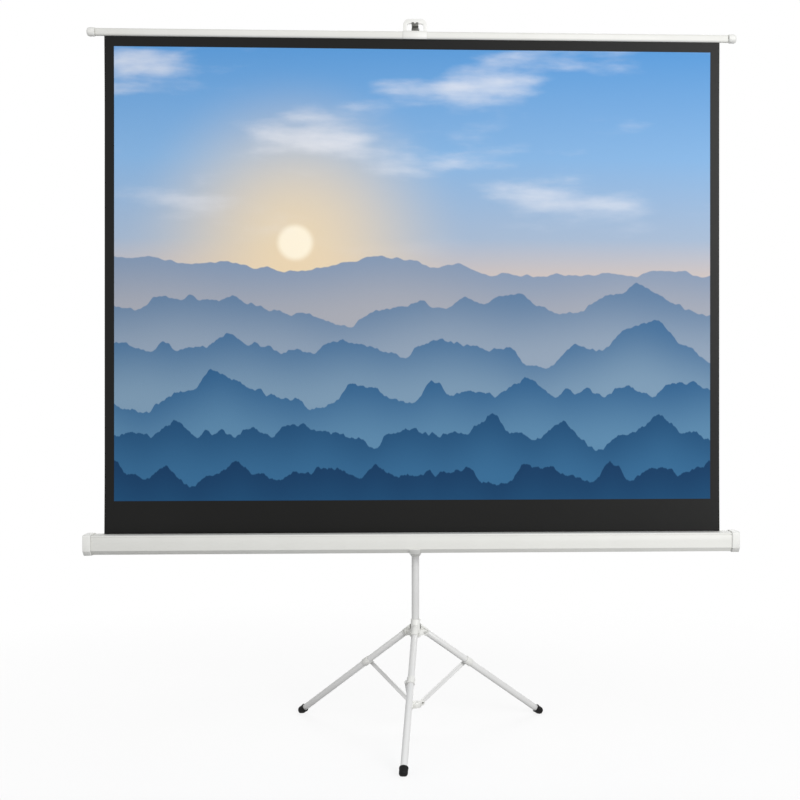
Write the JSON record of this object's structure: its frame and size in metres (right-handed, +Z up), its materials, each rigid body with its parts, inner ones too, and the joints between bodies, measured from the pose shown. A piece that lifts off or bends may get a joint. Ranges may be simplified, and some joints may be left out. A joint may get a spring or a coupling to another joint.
{
  "type": "tripod projection screen",
  "caption": "Portable projection screen: cloth drawn up from a spring roller in a long case to a hooked slat, on a telescopic column with folding tripod legs.",
  "frame": {"origin": "on the floor, under the middle of the bounding box", "axes": "+Z up, picture faces -Y, +X to the viewer's right"},
  "size_m": [1.861, 0.672, 2.057],
  "materials": {
    "white_paint": "gloss white paint on steel tube",
    "case_lacquer": "warm white lacquer",
    "white_plastic": "moulded, satin",
    "grey_plastic": "moulded, satin",
    "black_plastic": "moulded, satin",
    "rubber": "matt",
    "steel": "zinc plated",
    "cloth": "coated projection cloth with a black border"
  },
  "bodies": {
    "stand": {"leg_hub": "white_plastic", "column_tube": "white_paint", "column_collar": "white_plastic", "hub_pin_front": "steel", "hub_pin_right": "steel", "hub_pin_left": "steel"},
    "leg_front": {"leg_tube_front": "white_paint", "leg_knuckle_front": "white_plastic", "leg_clamp_front": "white_plastic", "rubber_foot_front": "rubber", "brace_pin_front": "steel"},
    "leg_right": {"leg_tube_right": "white_paint", "leg_knuckle_right": "white_plastic", "leg_clamp_right": "white_plastic", "rubber_foot_right": "rubber", "brace_pin_right": "steel"},
    "leg_left": {"leg_tube_left": "white_paint", "leg_knuckle_left": "white_plastic", "leg_clamp_left": "white_plastic", "rubber_foot_left": "rubber", "brace_pin_left": "steel"},
    "brace_front_link": {"brace_front": "white_paint"},
    "brace_right_link": {"brace_right": "white_paint"},
    "brace_left_link": {"brace_left": "white_paint"},
    "spreader_set": {"spreader": "white_plastic", "spreader_pin_front": "steel", "spreader_pin_right": "steel", "spreader_pin_left": "steel"},
    "mast": {"mast_tube": "white_paint", "mast_guide": "black_plastic", "mast_hook": "grey_plastic"},
    "slat": {"top_slat": "case_lacquer", "slat_cap_left": "white_plastic", "slat_cap_right": "white_plastic", "slat_bail": "white_plastic"},
    "case": {"slide_bracket": "white_plastic", "case_saddle": "white_plastic", "pivot_bolt": "steel", "case_body": "case_lacquer", "case_end_cap_left": "white_plastic", "case_end_cap_right": "white_plastic", "spring_arbor": "steel", "idle_pin": "steel", "roller_spring": "steel", "screen_fabric": "cloth"},
    "roller": {"roller_tube": "steel", "roller_plug_left": "white_plastic", "roller_plug_right": "white_plastic", "fabric_roll": "cloth"},
    "hub_knob_set": {"hub_knob": "black_plastic"},
    "mast_knob_set": {"mast_knob": "black_plastic"},
    "carriage_knob_set": {"carriage_knob": "black_plastic"}
  },
  "joints": [
    {"name": "leg_front_fold", "type": "hinge", "parent": "stand", "child": "leg_front", "pos_m": [-0.00136, 0.0692, 0.288], "axis": [0.9986, -0.0523, 0], "range_deg": [0, 50]},
    {"name": "leg_right_fold", "type": "hinge", "parent": "stand", "child": "leg_right", "pos_m": [0.02317, 0.10696, 0.288], "axis": [-0.454, 0.891, 0], "range_deg": [0, 50]},
    {"name": "leg_left_fold", "type": "hinge", "parent": "stand", "child": "leg_left", "pos_m": [-0.02181, 0.10932, 0.288], "axis": [-0.5446, -0.8387, 0], "range_deg": [0, 50]},
    {"name": "brace_front_swing", "type": "hinge", "parent": "leg_front", "child": "brace_front_link", "pos_m": [-0.00896, -0.07579, 0.18329], "axis": [0.9986, -0.0523, 0], "range_deg": [-100, 0]},
    {"name": "brace_right_swing", "type": "hinge", "parent": "leg_right", "child": "brace_right_link", "pos_m": [0.15252, 0.17288, 0.18329], "axis": [-0.454, 0.891, 0], "range_deg": [-100, 0]},
    {"name": "brace_left_swing", "type": "hinge", "parent": "leg_left", "child": "brace_left_link", "pos_m": [-0.14356, 0.18839, 0.18329], "axis": [-0.5446, -0.8387, 0], "range_deg": [-100, 0]},
    {"name": "spreader_level", "type": "hinge", "parent": "brace_front_link", "child": "spreader_set", "pos_m": [-0.00136, 0.0692, 0.07859], "axis": [0.9986, -0.0523, 0], "range_deg": [0, 50]},
    {"name": "mast_slide", "type": "slide", "parent": "stand", "child": "mast", "axis": [0, 0, 1], "range_m": [-0.8, 0], "deforming": ["screen_fabric"]},
    {"name": "slat_lift", "type": "slide", "parent": "mast", "child": "slat", "axis": [0, 0, 1], "range_m": [0, 0.012], "deforming": ["screen_fabric"]},
    {"name": "carriage_slide", "type": "slide", "parent": "stand", "child": "case", "axis": [0, 0, 1], "range_m": [0, 0.58], "deforming": ["screen_fabric"]},
    {"name": "roller_spin", "type": "hinge", "parent": "case", "child": "roller", "pos_m": [0, 0.03046, 0.5575], "axis": [1, 0, 0], "range_deg": [0, 2800]},
    {"name": "hub_knob_turn", "type": "hinge", "parent": "stand", "child": "hub_knob_set", "pos_m": [0, 0.09516, 0.31803], "axis": [0.0523, 0.9986, 0], "range_deg": [0, 360]},
    {"name": "mast_knob_turn", "type": "hinge", "parent": "stand", "child": "mast_knob_set", "pos_m": [0, 0.09516, 1.19], "axis": [0, 1, 0], "range_deg": [0, 360]},
    {"name": "carriage_knob_turn", "type": "hinge", "parent": "case", "child": "carriage_knob_set", "pos_m": [0, 0.09516, 0.5575], "axis": [0, 1, 0], "range_deg": [0, 360]}
  ],
  "couplings": [
    {"joint": "leg_right_fold", "follows": "leg_front_fold", "ratio": 1},
    {"joint": "leg_left_fold", "follows": "leg_front_fold", "ratio": 1},
    {"joint": "brace_front_swing", "follows": "leg_front_fold", "ratio": -2},
    {"joint": "brace_right_swing", "follows": "leg_front_fold", "ratio": -2},
    {"joint": "brace_left_swing", "follows": "leg_front_fold", "ratio": -2},
    {"joint": "spreader_level", "follows": "leg_front_fold", "ratio": 1},
    {"joint": "roller_spin", "follows": "mast_slide", "rad_per_m": -60}
  ]
}
